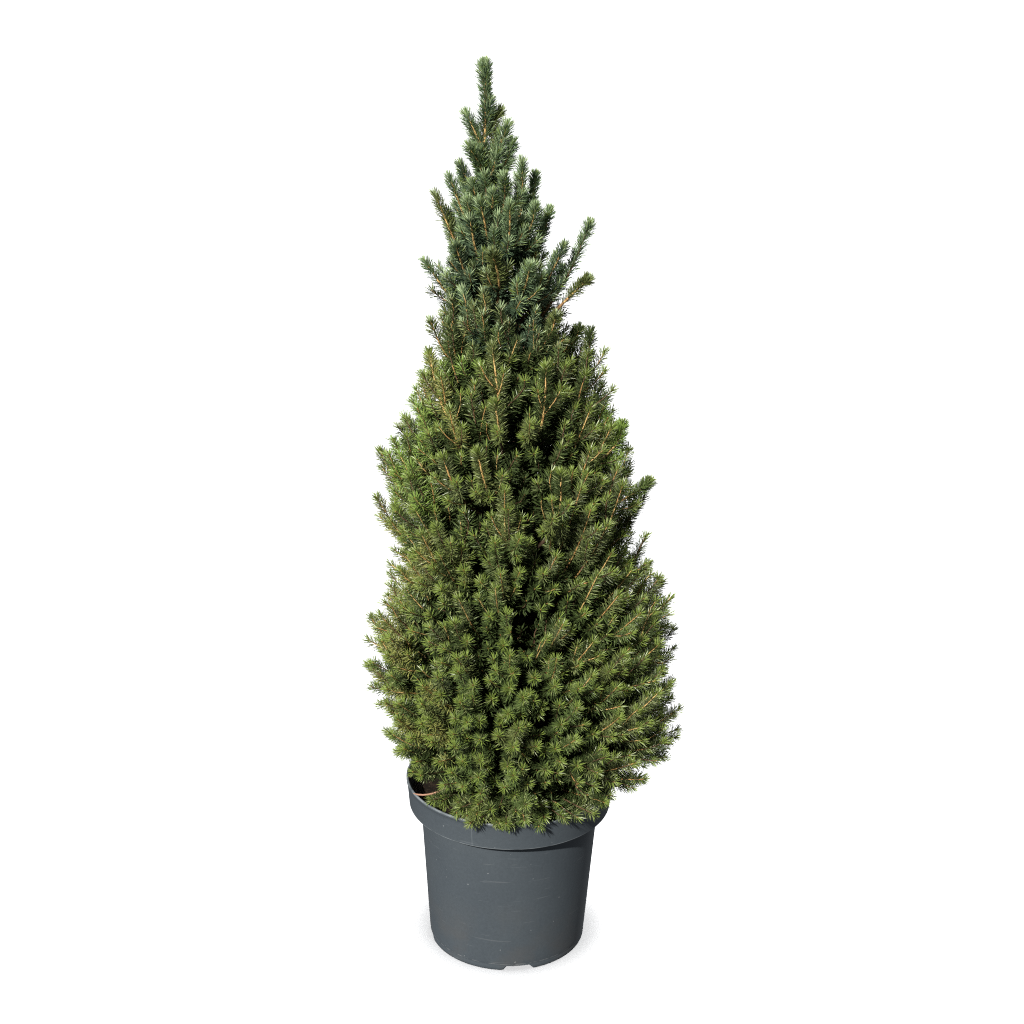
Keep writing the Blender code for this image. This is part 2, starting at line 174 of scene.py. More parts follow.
# Long shoots that stand out of the crown's sides: x, y, z, length.
PLUMES = (
    (-0.1100, -0.020, 0.9350, 0.085),
    (0.0990, 0.000, 0.9140, 0.090),
    (-0.1140, 0.000, 0.8780, 0.080),
    (0.1830, 0.000, 0.7080, 0.110),
    (0.1560, -0.020, 0.7600, 0.100),
    (0.1840, -0.010, 0.6330, 0.100),
    (0.2100, 0.000, 0.5620, 0.110),
    (0.2290, 0.000, 0.4900, 0.110),
    (0.2360, -0.030, 0.3360, 0.110),
    (0.1900, -0.030, 0.2660, 0.120),
    (-0.1800, 0.000, 0.7480, 0.110),
    (-0.1850, 0.000, 0.6800, 0.110),
    (-0.1960, 0.000, 0.5010, 0.110),
    (-0.2010, 0.000, 0.4290, 0.110),
)
# Shoots that lie over the rim: azimuth in degrees, reach from the axis, height.
HEM = (
    (-127, 0.124, 0.290),
    (-129, 0.160, 0.286),
    (-122, 0.163, 0.281),
    (-115, 0.163, 0.280),
    (-107, 0.164, 0.276),
    (-103, 0.165, 0.271),
    (-99, 0.166, 0.268),
    (-95, 0.160, 0.270),
    (-91, 0.166, 0.270),
    (-87, 0.160, 0.271),
    (-83, 0.167, 0.269),
    (-77, 0.168, 0.267),
    (-69, 0.162, 0.279),
    (-60, 0.170, 0.270),
    (-55, 0.174, 0.266),
    (-50, 0.172, 0.264),
    (-131, 0.150, 0.274),
    (-126, 0.152, 0.268),
    (-120, 0.155, 0.268),
    (-113, 0.157, 0.268),
    (-134, 0.138, 0.278),
    (-106, 0.158, 0.269),
    (-121, 0.146, 0.284),
    (-111, 0.148, 0.282),
    (-103, 0.148, 0.285),
    (-93, 0.148, 0.285),
    (-84, 0.148, 0.284),
    (-73, 0.150, 0.284),
    (-63, 0.152, 0.284),
    (-41, 0.170, 0.282),
    (-27, 0.186, 0.298),
    (-18, 0.194, 0.304),
    (28, 0.190, 0.278),
    (60, 0.180, 0.274),
    (88, 0.172, 0.268),
    (112, 0.170, 0.272),
    (140, 0.164, 0.276),
    (166, 0.156, 0.284),
)
# The lowest that tips hang outside the rim: azimuth in degrees, height.
HEM_FLOOR = np.array(
    (
        (-180, 0.276),
        (-150, 0.290),
        (-134, 0.276),
        (-129, 0.266),
        (-122, 0.263),
        (-115, 0.263),
        (-107, 0.266),
        (-99.5, 0.265),
        (-92, 0.267),
        (-84, 0.266),
        (-77, 0.264),
        (-69, 0.275),
        (-60, 0.265),
        (-51, 0.262),
        (-41, 0.276),
        (-27, 0.300),
        (-15, 0.300),
        (0, 0.300),
        (15, 0.288),
        (30, 0.270),
        (180, 0.270),
    )
)
# Dark gaps in the crown's face, which run inward and down: centre, half sizes and fall.
HOLES = (
    ((0.022, -0.185, 0.568), (0.021, 0.090, 0.034), 0.43),
    ((0.002, -0.130, 0.826), (0.014, 0.060, 0.026), 0.32),
    ((0.064, -0.120, 0.840), (0.011, 0.050, 0.020), 0.32),
    ((0.104, -0.160, 0.606), (0.012, 0.050, 0.014), 0.42),
    ((0.120, -0.175, 0.442), (0.014, 0.050, 0.014), 0.48),
    ((0.104, -0.185, 0.393), (0.013, 0.050, 0.013), 0.50),
    ((0.080, -0.165, 0.314), (0.028, 0.055, 0.017), 0.54),
    ((-0.040, -0.190, 0.518), (0.012, 0.050, 0.015), 0.45),
)
SOIL_Z = 0.2262
TRUNK_TOP_Z = 1.2450
RIM_R, RIM_Z = 0.1500, 0.2586
NOTCH_TURN = math.radians(8.8)

# ------------------------------------------------------------------ materials


def plain(name, color, roughness=0.5, specular=0.35):
    """One colour all over: for needles and twigs, whose colours are dealt out by spray."""
    made = bpy.data.materials.new(name)
    made.use_nodes = True
    shader = made.node_tree.nodes["Principled BSDF"]
    shader.inputs["Base Color"].default_value = (*color, 1.0)
    shader.inputs["Roughness"].default_value = roughness
    shader.inputs["Specular IOR Level"].default_value = specular
    return made


class Nodes:
    def __init__(self, name):
        self.material = bpy.data.materials.new(name)
        self.material.use_nodes = True
        self.tree = self.material.node_tree
        self.shader = self.tree.nodes["Principled BSDF"]
        self.place = self.add("ShaderNodeTexCoord").outputs["Object"]

    def add(self, kind, **values):
        node = self.tree.nodes.new(kind)
        for key, value in values.items():
            setattr(node, key, value)
        return node

    def link(self, a, b):
        self.tree.links.new(a, b)

    def stretched(self, scale):
        mapping = self.add("ShaderNodeMapping")
        mapping.inputs["Scale"].default_value = scale
        self.link(self.place, mapping.inputs["Vector"])
        return mapping.outputs["Vector"]

    def noise(self, scale, detail=4.0, rough=0.55, vector=None):
        node = self.add("ShaderNodeTexNoise")
        node.inputs["Scale"].default_value = scale
        node.inputs["Detail"].default_value = detail
        node.inputs["Roughness"].default_value = rough
        self.link(vector or self.place, node.inputs["Vector"])
        return node.outputs["Fac"]

    def ramp(self, value, *stops):
        node = self.add("ShaderNodeValToRGB")
        ramp = node.color_ramp
        while len(ramp.elements) < len(stops):
            ramp.elements.new(0.5)
        for element, (at, color) in zip(ramp.elements, stops):
            element.position = at
            element.color = (*color, 1.0) if len(color) == 3 else color
        self.link(value, node.inputs["Fac"])
        return node.outputs["Color"]

    def math(self, operation, a, b=None):
        node = self.add("ShaderNodeMath", operation=operation)
        for socket, value in zip(node.inputs, (a, b)):
            if value is None:
                continue
            if isinstance(value, (int, float)):
                socket.default_value = value
            else:
                self.link(value, socket)
        return node.outputs[0]

    def mix(self, factor, a, b):
        node = self.add("ShaderNodeMix", data_type="RGBA")
        for socket, value in ((node.inputs[0], factor), (node.inputs[6], a), (node.inputs[7], b)):
            if isinstance(value, tuple):
                socket.default_value = (*value, 1.0)
            elif isinstance(value, (int, float)):
                socket.default_value = value
            else:
                self.link(value, socket)
        return node.outputs[2]

    def bump(self, height, strength, distance):
        node = self.add("ShaderNodeBump")
        node.inputs["Strength"].default_value = strength
        node.inputs["Distance"].default_value = distance
        self.link(height, node.inputs["Height"])
        self.link(node.outputs["Normal"], self.shader.inputs["Normal"])


def black_white(low, high):
    return (low, (0.0, 0.0, 0.0)), (high, (1.0, 1.0, 1.0))


def pot_material():
    m = Nodes("pot_plastic_dark_grey")
    x, y, z = (m.add("ShaderNodeSeparateXYZ").outputs[i] for i in range(3))
    split = m.tree.nodes["Separate XYZ"]
    x, y, z = split.outputs
    m.link(m.place, split.inputs[0])
    broad = m.noise(9.0, 3.0)
    fine = m.noise(260.0, 5.0, 0.7)
    streaks = m.noise(34.0, 3.0, 0.6, m.stretched((1.0, 1.0, 0.16)))
    base = m.ramp(broad, (0.30, (0.044, 0.054, 0.064)), (0.70, (0.053, 0.064, 0.074)))
    grey = m.ramp(fine, (0.35, (0.92, 0.92, 0.92)), (0.65, (1.06, 1.06, 1.06)))
    multiply = m.add("ShaderNodeMix", data_type="RGBA", blend_type="MULTIPLY")
    multiply.inputs[0].default_value = 1.0
    m.link(base, multiply.inputs[6])
    m.link(grey, multiply.inputs[7])
    color = multiply.outputs[2]
    # earth stains low on the wall
    low = m.ramp(z, (0.010, (1.0, 1.0, 1.0)), (0.125, (0.0, 0.0, 0.0)))
    patch = m.ramp(m.noise(16.0, 4.0, 0.6), *black_white(0.47, 0.66))
    stain = m.math("MULTIPLY", m.math("MULTIPLY", low, patch), 0.34)
    color = m.mix(stain, color, (0.070, 0.061, 0.054))
    # pale scuffs where the foot ledge has rubbed
    near_ledge = m.math("LESS_THAN", m.math("ABSOLUTE", m.math("SUBTRACT", z, 0.0108)), 0.0008)
    rubbed = m.ramp(m.noise(70.0, 4.0, 0.7), *black_white(0.42, 0.62))
    color = m.mix(m.math("MULTIPLY", m.math("MULTIPLY", near_ledge, rubbed), 0.40), color, (0.30, 0.31, 0.32))
    # painted highlight, broken up like wear: paler along the rim's top and the collar's lower edge, where the rounded
    # edges catch the light; and a paler line down the collar at the mould seam
    edge_highlight_and_wear = m.ramp(m.noise(45.0, 3.0, 0.6), *black_white(0.30, 0.60))
    edges = m.math("GREATER_THAN", z, RIM_Z - 0.0022)
    edges = m.math("MAXIMUM", edges, m.math("LESS_THAN", m.math("ABSOLUTE", m.math("SUBTRACT", z, 0.2175)), 0.0009))
    color = m.mix(m.math("MULTIPLY", m.math("MULTIPLY", edges, edge_highlight_and_wear), 0.60), color, (0.230, 0.255, 0.270))
    turn = m.math("ARCTAN2", y, x)
    line = m.math("LESS_THAN", m.math("ABSOLUTE", m.math("ADD", turn, math.radians(110.0))), 0.0036)
    line = m.math("MULTIPLY", line, m.math("GREATER_THAN", z, 0.2180))
    color = m.mix(m.math("MULTIPLY", line, 0.26), color, (0.180, 0.200, 0.215))
    # a few thin scratches and specks
    specks = m.ramp(m.noise(170.0, 1.0, 0.4), *black_white(0.785, 0.805))
    color = m.mix(m.math("MULTIPLY", specks, 0.30), color, (0.34, 0.35, 0.36))
    scratch = m.ramp(m.noise(60.0, 2.0, 0.4, m.stretched((0.35, 0.35, 5.0))), *black_white(0.690, 0.740))
    color = m.mix(m.math("MULTIPLY", scratch, 0.10), color, (0.26, 0.27, 0.28))
    m.link(color, m.shader.inputs["Base Color"])
    rough = m.add("ShaderNodeMapRange")
    rough.inputs["To Min"].default_value = 0.44
    rough.inputs["To Max"].default_value = 0.60
    m.link(streaks, rough.inputs["Value"])
    m.link(rough.outputs[0], m.shader.inputs["Roughness"])
    m.shader.inputs["Specular IOR Level"].default_value = 0.32
    height = m.math("ADD", m.math("MULTIPLY", fine, 0.5), m.math("MULTIPLY", streaks, 0.5))
    m.bump(height, 0.25, 0.0006)
    return m.material


def soil_material():
    m = Nodes("soil_crumbly")
    grain = m.noise(120.0, 6.0, 0.7)
    # very dark brown: partly the soil's own colour, partly painted shade standing in for the shade of the foliage over
    # it
    color = m.ramp(
        grain, (0.30, (0.005, 0.004, 0.003)), (0.52, (0.014, 0.010, 0.007)), (0.72, (0.040, 0.027, 0.017))
    )
    m.link(color, m.shader.inputs["Base Color"])
    m.shader.inputs["Roughness"].default_value = 0.95
    m.shader.inputs["Specular IOR Level"].default_value = 0.1
    m.bump(m.noise(240.0, 5.0, 0.7), 0.8, 0.003)
    return m.material


def bark_material():
    m = Nodes("bark_brown")
    plates = m.noise(90.0, 5.0, 0.65, m.stretched((1.0, 1.0, 0.35)))
    old = m.ramp(
        plates, (0.32, (0.030, 0.018, 0.012)), (0.50, (0.070, 0.042, 0.026)), (0.68, (0.130, 0.082, 0.050))
    )
    young = m.ramp(plates, (0.32, (0.260, 0.140, 0.055)), (0.68, (0.480, 0.285, 0.120)))
    split = m.add("ShaderNodeSeparateXYZ")
    m.link(m.place, split.inputs[0])
    m.link(m.mix(m.ramp(split.outputs[2], *black_white(0.93, 1.0)), old, young), m.shader.inputs["Base Color"])
    m.shader.inputs["Roughness"].default_value = 0.85
    m.shader.inputs["Specular IOR Level"].default_value = 0.2
    m.bump(m.noise(300.0, 4.0, 0.6, m.stretched((1.0, 1.0, 0.4))), 0.7, 0.0012)
    return m.material


# ------------------------------------------------------------------ meshes from arrays


def mesh_object(name, points, faces, materials, index=None, smooth=False):
    mesh = bpy.data.meshes.new(name)
    points = np.ascontiguousarray(points, np.float32).reshape(-1, 3)
    faces = np.ascontiguousarray(faces, np.int32)
    mesh.vertices.add(len(points))
    mesh.vertices.foreach_set("co", points.ravel())
    mesh.loops.add(faces.size)
    mesh.loops.foreach_set("vertex_index", faces.ravel())
    mesh.polygons.add(len(faces))
    mesh.polygons.foreach_set("loop_start", np.arange(0, faces.size, faces.shape[1], dtype=np.int32))
    for material in materials:
        mesh.materials.append(material)
    if index is not None:
        mesh.polygons.foreach_set("material_index", np.ascontiguousarray(index, np.int32))
    mesh.polygons.foreach_set("use_smooth", np.full(len(faces), smooth))
    mesh.update(calc_edges=True)
    obj = bpy.data.objects.new(name, mesh)
    bpy.context.scene.collection.objects.link(obj)
    return obj


def normalized(v):
    return v / np.maximum(np.linalg.norm(v, axis=-1, keepdims=True), 1e-12)


def across(direction):
    """Two unit vectors at right angles to each direction."""
    helper = np.where(np.abs(direction[..., 2:3]) < 0.9, UP, np.array((1.0, 0.0, 0.0)))
    u = normalized(np.cross(direction, helper))
    return u, np.cross(direction, u)


def tubes(lines, radii, sides):
    """Tapering tubes along many lines at once: lines is (tubes, points, 3) and radii (tubes, points)."""
    count, steps, _ = lines.shape
    along = normalized(np.gradient(lines, axis=1))
    u, w = across(normalized(lines[:, -1] - lines[:, 0]))
    turn = np.arange(sides) * math.tau / sides
    u = u[:, None, :] - along * (along * u[:, None, :]).sum(-1, keepdims=True)
    u = normalized(u)
    w = np.cross(along, u)
    ring = (
        u[:, :, None, :] * np.cos(turn)[None, None, :, None] + w[:, :, None, :] * np.sin(turn)[None, None, :, None]
    )
    points = lines[:, :, None, :] + ring * radii[:, :, None, None]
    ids = np.arange(count * steps * sides).reshape(count, steps, sides)
    a, b = ids[:, :-1, :], ids[:, 1:, :]
    faces = np.stack([a, np.roll(a, -1, 2), np.roll(b, -1, 2), b], -1).reshape(-1, 4)
    return points.reshape(-1, 3), faces


# ------------------------------------------------------------------ growth


def smooth(t):
    t = np.clip(t, 0.0, 1.0)
    return t * t * (3 - 2 * t)


def trunk_at(z):
    z = np.asarray(z, float)
    x = 0.0040 - 0.0460 * smooth((z - 0.42) / 0.74) + 0.0022 * np.sin(11.0 * z)
    return np.stack([x, 0.0030 * np.sin(7.0 * z + 0.6), z], -1)


def trunk_r(z):
    t = np.clip((z - SOIL_Z) / (TRUNK_TOP_Z - SOIL_Z), 0, 1)
    return 0.0014 + 0.0121 * (1 - t) ** 0.9


def crown(z):
    """Centre in x and radius of the crown at a height."""
    left, right = np.interp(z, OUTLINE[:, 0], OUTLINE[:, 1]), np.interp(z, OUTLINE[:, 0], OUTLINE[:, 2])
    return (right - left) / 2, (right + left) / 2


def depth(p):
    """1 on the crown's outline, 0 on its axis."""
    c, h = crown(p[..., 2])
    return np.hypot(p[..., 0] - c, p[..., 1]) / h


def outer(p):
    """Depth, except that the top's plumes all count as outside."""
    return np.maximum(depth(p), np.interp(p[..., 2], (0.98, 1.10), (0.0, 1.0)))


def in_hole(p):
    turn = np.degrees(np.arctan2(p[..., 1], p[..., 0]))
    inside = (p[..., 2] < 0.296) & (turn < -136) & (turn > -178) & (np.hypot(p[..., 0], p[..., 1]) > 0.085)
    return inside | in_gap(p, HOLES)


def in_gap(p, gaps):
    inside = np.zeros(p.shape[:-1], bool)
    for centre, half, fall in gaps:
        away = p - np.array(centre)
        away[..., 2] += fall * away[..., 1]
        inside |= ((away / np.array(half)) ** 2).sum(-1) < 1
    return inside


def over_rim(p):
    """True for tips that hang neither into the pot nor far down its collar."""
    reach = np.hypot(p[:, 0], p[:, 1])
    lowest = np.interp(np.degrees(np.arctan2(p[:, 1], p[:, 0])), *HEM_FLOOR.T)
    return p[:, 2] > np.where(reach > RIM_R - 0.012, lowest + 0.25 * (reach - 0.165), RIM_Z + 0.005)


def bezier(p0, p1, p2, p3, steps):
    t = np.linspace(0, 1, steps)[None, :, None]
    p0, p1, p2, p3 = (p[:, None, :] for p in (p0, p1, p2, p3))
    return (1 - t) ** 3 * p0 + 3 * (1 - t) ** 2 * t * p1 + 3 * (1 - t) * t**2 * p2 + t**3 * p3


def lift(z):
    """How steeply shoots point at a height: nearly level over the rim, nearly upright at the top."""
    return np.radians(np.interp(z, (0.25, 0.30, 0.36, 0.46, 0.62, 0.80, 1.0, 1.2), (2, 14, 30, 44, 56, 67, 77, 84)))


def polar(azimuth, elevation):
    return np.stack(
        [np.cos(azimuth) * np.cos(elevation), np.sin(azimuth) * np.cos(elevation), np.sin(elevation)], -1
    )


def growth(p):
    """The way shoots grow at a place: out from the trunk and up."""
    away = p - trunk_at(p[:, 2])
    return polar(np.arctan2(away[:, 1], away[:, 0]), lift(p[:, 2]))


def first_order():
    """Tips of the main shoots: spread evenly over the crown's surface, with the named plumes and the hem among them."""
    heights = np.linspace(0.275, 1.19, 2000)
    spacing = np.interp(heights, (0.3, 0.9, 1.1), (SPACING_LOW, 0.044, SPACING_TOP))
    per_metre = math.tau * crown(heights)[1] / spacing**2
    total = np.cumsum(per_metre) * (heights[1] - heights[0])
    count = int(total[-1])
    z = np.interp((np.arange(count) + rng.uniform(0.1, 0.9, count)) / count * total[-1], total, heights)
    azimuth = np.arange(count) * GOLDEN + rng.normal(0, 0.14, count)
    c, h = crown(z)
    share = 0.995 - 0.080 * rng.random(count) ** 1.6 - 0.005 / h
    tips = np.stack([c + h * share * np.cos(azimuth), h * share * np.sin(azimuth), z], -1)
    plumes = np.array(PLUMES)
    hem = np.array(HEM)
    turn = np.radians(hem[:, 0])
    hem_tips = np.stack([hem[:, 1] * np.cos(turn), hem[:, 1] * np.sin(turn), hem[:, 2]], -1)
    hem_tips += rng.normal(0, (0.005, 0.004, 0.003), hem_tips.shape)
    fanned = np.array([(*tip, *foot, leafy) for tip, foot, leafy in FANNED])
    fixed = np.concatenate([plumes[:, :3], hem_tips, fanned[:, :3]])
    stems = np.concatenate([fixed, (fanned[:, :3] + fanned[:, 3:6]) / 2, fanned[:, 3:6]])
    gap = np.linalg.norm((tips[:, None] - stems[None]) * (1, 1, 0.8), axis=-1).min(1)
    tips = tips[(gap > np.interp(tips[:, 2], (0.9, 1.1), (0.027, 0.022))) & ~in_hole(tips) & over_rim(tips) & (tips[:, 2] < 1.12)]
    kind = np.repeat((0, 1, 2, 3), (len(tips), len(plumes), len(hem_tips), len(fanned)))
    leafy = np.concatenate(
        [np.interp(tips[:, 2], (0.3, 0.8), (0.135, 0.155)), plumes[:, 3], np.full(len(hem_tips), 0.110), fanned[:, 6]]
    )
    return np.concatenate([tips, fixed]), leafy, kind


def main_lines():
    tips, leafy, kind = first_order()
    hem = kind == 2
    z = tips[:, 2]
    away = tips - trunk_at(z)
    out = np.hypot(away[:, 0], away[:, 1])
    azimuth = np.arctan2(away[:, 1], away[:, 0])
    elevation = lift(z) + rng.normal(0, 0.08, len(z))
    chord = np.maximum(elevation - math.radians(13), math.radians(2))
    foot_z = np.maximum(z - out * np.tan(chord) - 0.01, SOIL_Z + 0.022 + 0.03 * rng.random(len(z)))
    foot_z = np.minimum(foot_z, TRUNK_TOP_Z - 0.012)
    # a plume of the top leaves the trunk no lower than its own length allows
    foot_z = np.where((kind == 1) & (z > 0.98), np.maximum(foot_z, z - leafy - 0.025), foot_z)
    foot = trunk_at(foot_z)
    length = np.linalg.norm(tips - foot, axis=1)[:, None]
    rise = np.where(hem, 0.32, np.maximum(elevation - 0.50, -0.1))
    fall = np.where(hem, 0.02 + 0.12 * rng.normal(0, 1, len(z)), np.minimum(elevation + 0.08, 1.45))
    start = polar(azimuth + rng.normal(0, 0.10, len(z)), rise)
    end = polar(azimuth + np.where(hem, 0.38, 0.14) * rng.normal(0, 1, len(z)), fall)
    lines = bezier(foot, foot + start * length * 0.36, tips - end * length * 0.34, tips, 25)
    # the fanned plumes leave the trunk below their own stems' lower ends
    stem = np.array([foot for _, foot, _ in FANNED])
    tip = np.array([tip for tip, _, _ in FANNED])
    out = np.hypot(*(stem - trunk_at(stem[:, 2]))[:, :2].T)
    drop = np.interp(stem[:, 2], (0.80, 0.90), (0.5, 0.9))
    joint = trunk_at(np.minimum(stem[:, 2] - drop * out - 0.004, TRUNK_TOP_Z - 0.020))
    lines[kind == 3] = bezier(joint, stem, stem + (tip - stem) * 0.45, tip, 25)
    return lines, leafy, kind


def arc(lines):
    """Length along each line from its tip."""
    steps = np.linalg.norm(np.diff(lines, axis=1), axis=2)
    return np.concatenate([np.cumsum(steps[:, ::-1], 1)[:, ::-1], np.zeros((len(lines), 1))], 1)


def at(lines, which, share):
    """Points and directions at a share (0 foot, 1 tip) of chosen lines."""
    steps = lines.shape[1] - 1
    place = np.clip(share, 0, 0.99999) * steps
    low = place.astype(int)
    part = (place - low)[:, None]
    a, b = lines[which, low], lines[which, low + 1]
    return a + (b - a) * part, normalized(b - a)


def side_shoots(lines, clear, back, spacing, longest, slope, extra, skipped, steps):
    """Shoots along the sides of each line: none on the first stretch behind its tip, then longer and longer."""
    parents, shares, rolls, lengths = [], [], [], []
    from_tip = arc(lines)
    shares_axis = np.linspace(0, 1, lines.shape[1])
    for i in range(len(lines)):
        s = clear[i] + spacing * rng.random()
        roll = math.tau * rng.random()
        while s < min(back[i], from_tip[i, 0] * 0.97):
            if rng.random() > skipped:
                parents.append(i)
                shares.append(np.interp(-s, -from_tip[i], shares_axis))
                rolls.append(roll)
                lengths.append(min(slope * s + extra, longest) * (0.80 + 0.36 * rng.random()))
            roll += GOLDEN + 0.4 * (rng.random() - 0.5)
            s += spacing * (0.75 + 0.5 * rng.random())
    parents, shares, rolls, lengths = map(np.array, (parents, shares, rolls, lengths))
    p, d = at(lines, parents, shares)
    u, w = across(d)
    turn = SIDE_ANGLE * (0.85 + 0.35 * rng.random(len(p)))[:, None]
    side = u * np.cos(rolls)[:, None] + w * np.sin(rolls)[:, None]
    first = d * np.cos(turn) + side * np.sin(turn)
    last = normalized(0.50 * first + 0.34 * d + 0.55 * growth(p))
    size = lengths[:, None]
    tip = p + first * size * 0.50 + last * size * 0.47
    made = bezier(p, p + first * size * 0.33, tip - last * size * 0.33, tip, steps)
    return made, parents, lengths


class Spread:
    """Keeps tips apart: a new tip is dropped where one already stands too near."""

    def __init__(self, cell):
        self.cell, self.cells = cell, {}

    def take(self, tips, apart):
        kept = np.zeros(len(tips), bool)
        for i, tip in enumerate(tips):
            key = tuple((tip // self.cell).astype(int))
            near = [
                q
                for dx in (-1, 0, 1)
                for dy in (-1, 0, 1)
                for dz in (-1, 0, 1)
                for q in self.cells.get((key[0] + dx, key[1] + dy, key[2] + dz), ())
            ]
            x, y, z = tip
            limit = apart[i] ** 2
            if all((x - q[0]) ** 2 + (y - q[1]) ** 2 + (z - q[2]) ** 2 > limit for q in near):
                kept[i] = True
                self.cells.setdefault(key, []).append((x, y, z))
        return kept


def apart_at(tips, outer, inner):
    return np.interp(depth(tips), (0.60, 0.86), (inner, outer)) * np.interp(tips[:, 2], (0.9, 1.05), (1.0, 0.85))


main, leafy, kind = main_lines()
keep = (kind != 0) & (kind != 2) | ~in_gap(main[:, 14:], (HOLES[0], HOLES[6])).any(1)
main, leafy, kind = main[keep], leafy[keep], kind[keep]
spread = Spread(0.030)
spread.take(main[:, -1], np.zeros(len(main)))
clear = np.select([kind == 1, kind == 2, kind == 3], [0.034, 0.015, 0.052], np.interp(main[:, -1, 2], (0.42, 0.72), (0.026, 0.038)))
second, second_of, second_long = side_shoots(main, clear, leafy, 0.0085, 0.072, 0.50, 0.012, 0.05, 9)
ends = second[:, -1]
shares = depth(ends)
keep = shares < np.select([kind[second_of] == 1, kind[second_of] == 3], [1.10, 1.30], 1.02)
keep &= over_rim(ends) | (kind[second_of] == 1)
keep &= (shares > 0.30) & ~in_hole(second[:, 3:]).any(1)
second, second_of, second_long = second[keep], second_of[keep], second_long[keep]
order = np.argsort(-depth(second[:, -1]))
second, second_of, second_long = second[order], second_of[order], second_long[order]
keep = spread.take(second[:, -1], apart_at(second[:, -1], 0.0230, 0.0230))
second, second_of, second_long = second[keep], second_of[keep], second_long[keep]
third, third_of, third_long = side_shoots(
    second,
    np.full(len(second), 0.013),
    np.maximum(second_long - 0.004, 0),
    0.0085,
    0.026,
    0.42,
    0.0080,
    0.05,
    5,
)
ends = third[:, -1]
shares = depth(ends)
keep = (shares < np.where(kind[second_of[third_of]] == 1, 1.08, 1.02)) & (shares > 0.38)
keep &= over_rim(ends) | (kind[second_of[third_of]] == 1)
keep &= ~in_hole(third).any(1)
third, third_of, third_long = third[keep], third_of[keep], third_long[keep]
order = np.argsort(-depth(third[:, -1]))
third, third_of, third_long = third[order], third_of[order], third_long[order]
keep = spread.take(third[:, -1], apart_at(third[:, -1], 0.0205, 0.0230))
third, third_of, third_long = third[keep], third_of[keep], third_long[keep]


def grown_into_gaps(tries, gap):
    """Shoots from the nearest wood into places that the others left empty."""
    lined = [main[:, 8:].reshape(-1, 3), second.reshape(-1, 3), third.reshape(-1, 3)]
    points = np.concatenate(lined)
    near = kdtree.KDTree(len(points))
    for i, p in enumerate(points):
        near.insert(p, i)
    near.balance()
    wood = np.concatenate([main[:, 3:22].reshape(-1, 3), second[:, :6].reshape(-1, 3)])
    wooden = kdtree.KDTree(len(wood))
    for i, p in enumerate(wood):
        wooden.insert(p, i)
    wooden.balance()
    z = 0.285 + 0.80 * rng.random(tries) ** 1.05
    azimuth = rng.uniform(-math.pi, math.pi, tries)
    c, h = crown(z)
    most = np.where((np.abs(np.sin(azimuth)) < 0.5) | (z > 0.83), 0.94, 0.76)
    share = rng.uniform(0.06, most)
    tips = np.stack([c + h * share * np.cos(azimuth), h * share * np.sin(azimuth), z], -1)
    tips = tips[~in_hole(tips) & over_rim(tips)]
    tips = tips[np.argsort(-depth(tips))]
    far = np.array([near.find(p)[2] for p in tips])
    limit = gap * np.interp(tips[:, 2], (0.82, 0.88), (1.0, 0.80))
    tips = tips[far > limit]
    tips = tips[Spread(0.030).take(tips, np.full(len(tips), gap * 1.35))]
    way = growth(tips)
    sought = tips - way * 0.048
    foot = np.array([wooden.find(p)[0] for p in sought])
    length = np.linalg.norm(tips - foot, axis=1)
    ok = (length > 0.018) & (length < 0.110)
    tips, way, foot, length = tips[ok], way[ok], foot[ok], length[ok]
    turned_way = normalized(way + 0.22 * rng.normal(0, 1, way.shape))
    start = normalized(normalized(tips - foot) + 0.5 * way)
    made = bezier(foot, foot + start * length[:, None] * 0.30, tips - turned_way * length[:, None] * 0.36, tips, 9)
    clear_way = ~in_hole(made[:, 3:]).any(1)
    return made[clear_way], length[clear_way]


filled, filled_long = grown_into_gaps(19000, 0.0162)
print("shoots", len(main), len(second), len(third), len(filled))

# ------------------------------------------------------------------ needles

# The top's greens are made paler than the lower crown's: painted light, standing in for the light that reaches deeper
# among the thin plumes at the top.
PALETTE = {
    "needle_top_dark": (0.064, 0.102, 0.058),
    "needle_top": (0.168, 0.250, 0.121),
    "needle_top_pale": (0.300, 0.385, 0.205),
    "needle_deep": (0.042, 0.062, 0.019),
    "needle_mid": (0.094, 0.138, 0.040),
    "needle_olive": (0.128, 0.158, 0.048),
    "needle_grey": (0.120, 0.150, 0.058),
    "needle_pale": (0.235, 0.275, 0.112),
    "needle_lime": (0.160, 0.218, 0.044),
    "needle_brown": (0.170, 0.095, 0.045),
    "needle_vivid": (0.190, 0.290, 0.060),
    "needle_sunny": (0.235, 0.248, 0.070),
}
MATT = ("needle_deep", "needle_top_dark", "needle_brown")
needle_looks = [
    plain(name, color, 0.60 if name in MATT else 0.40, 0.15 if name in MATT else 0.54) for name, color in PALETTE.items()
]
TOP_DARK, TOP, TOP_PALE, DEEP, MID, OLIVE, GREY, PALE, LIME, BROWN, VIVID, SUNNY = range(12)


